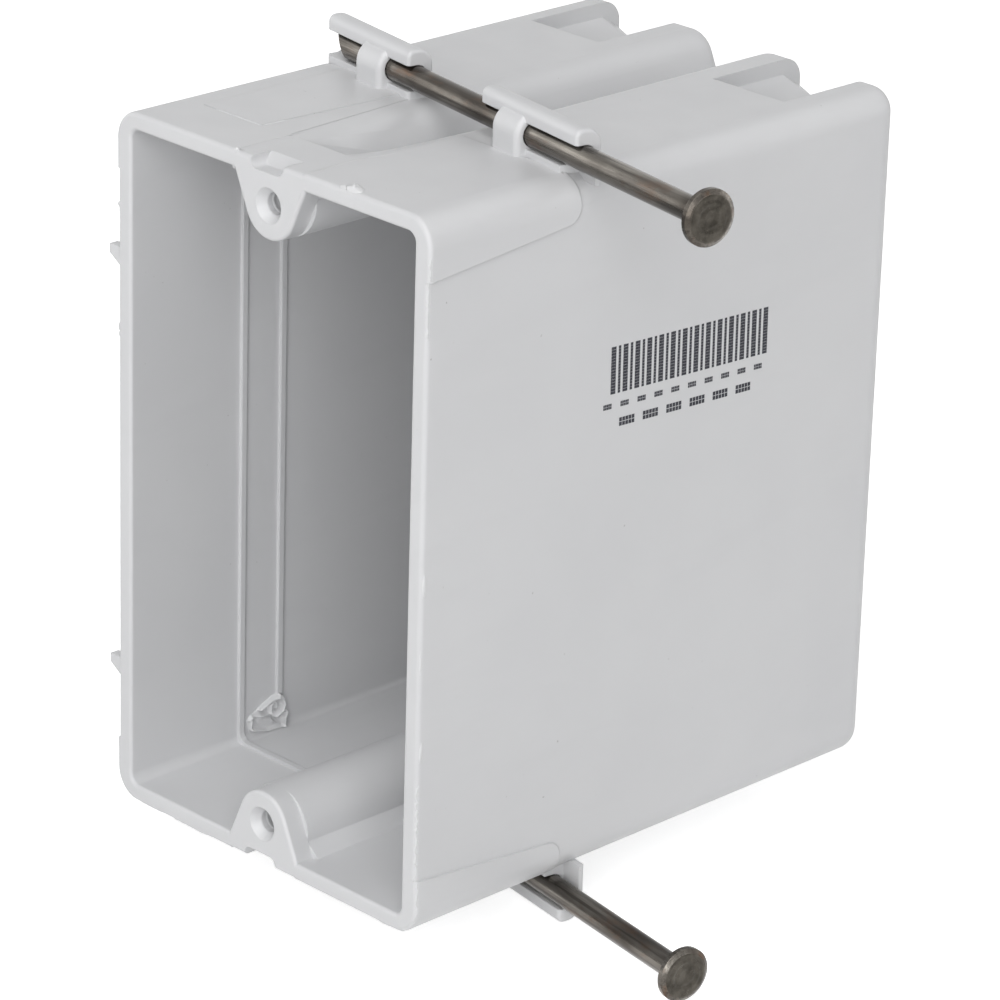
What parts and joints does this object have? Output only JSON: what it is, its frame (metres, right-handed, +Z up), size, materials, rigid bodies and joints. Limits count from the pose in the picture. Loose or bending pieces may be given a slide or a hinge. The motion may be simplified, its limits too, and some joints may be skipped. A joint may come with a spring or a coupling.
{
  "type": "outlet box",
  "caption": "Nail-on moulded outlet box, open at the front, with ears for a wiring device, break-in cable entries at the rear corners and captive slanted nails.",
  "frame": {"origin": "midway between the two device screw holes, in the plane of the rim", "axes": "+X to the right across the opening (the nail heads' side), +Y from the open front to the rear wall, +Z up"},
  "size_m": [0.0849, 0.084, 0.107],
  "materials": {
    "body": "light cool-grey moulded PVC, satin to gloss",
    "nail": "bright-drawn steel wire, dull, with a slight tint of rust"
  },
  "bodies": {
    "box": {"box_body": "body"},
    "upper_nail": {"nail_top": "nail"},
    "lower_nail": {"nail_bottom": "nail"}
  },
  "joints": [
    {"name": "upper_nail_slide", "type": "slide", "parent": "box", "child": "upper_nail", "axis": [-0.9848, 0.1736, 0], "range_m": [0, 0.0232]},
    {"name": "lower_nail_slide", "type": "slide", "parent": "box", "child": "lower_nail", "axis": [-0.9848, 0.1736, 0], "range_m": [0, 0.0232]}
  ]
}
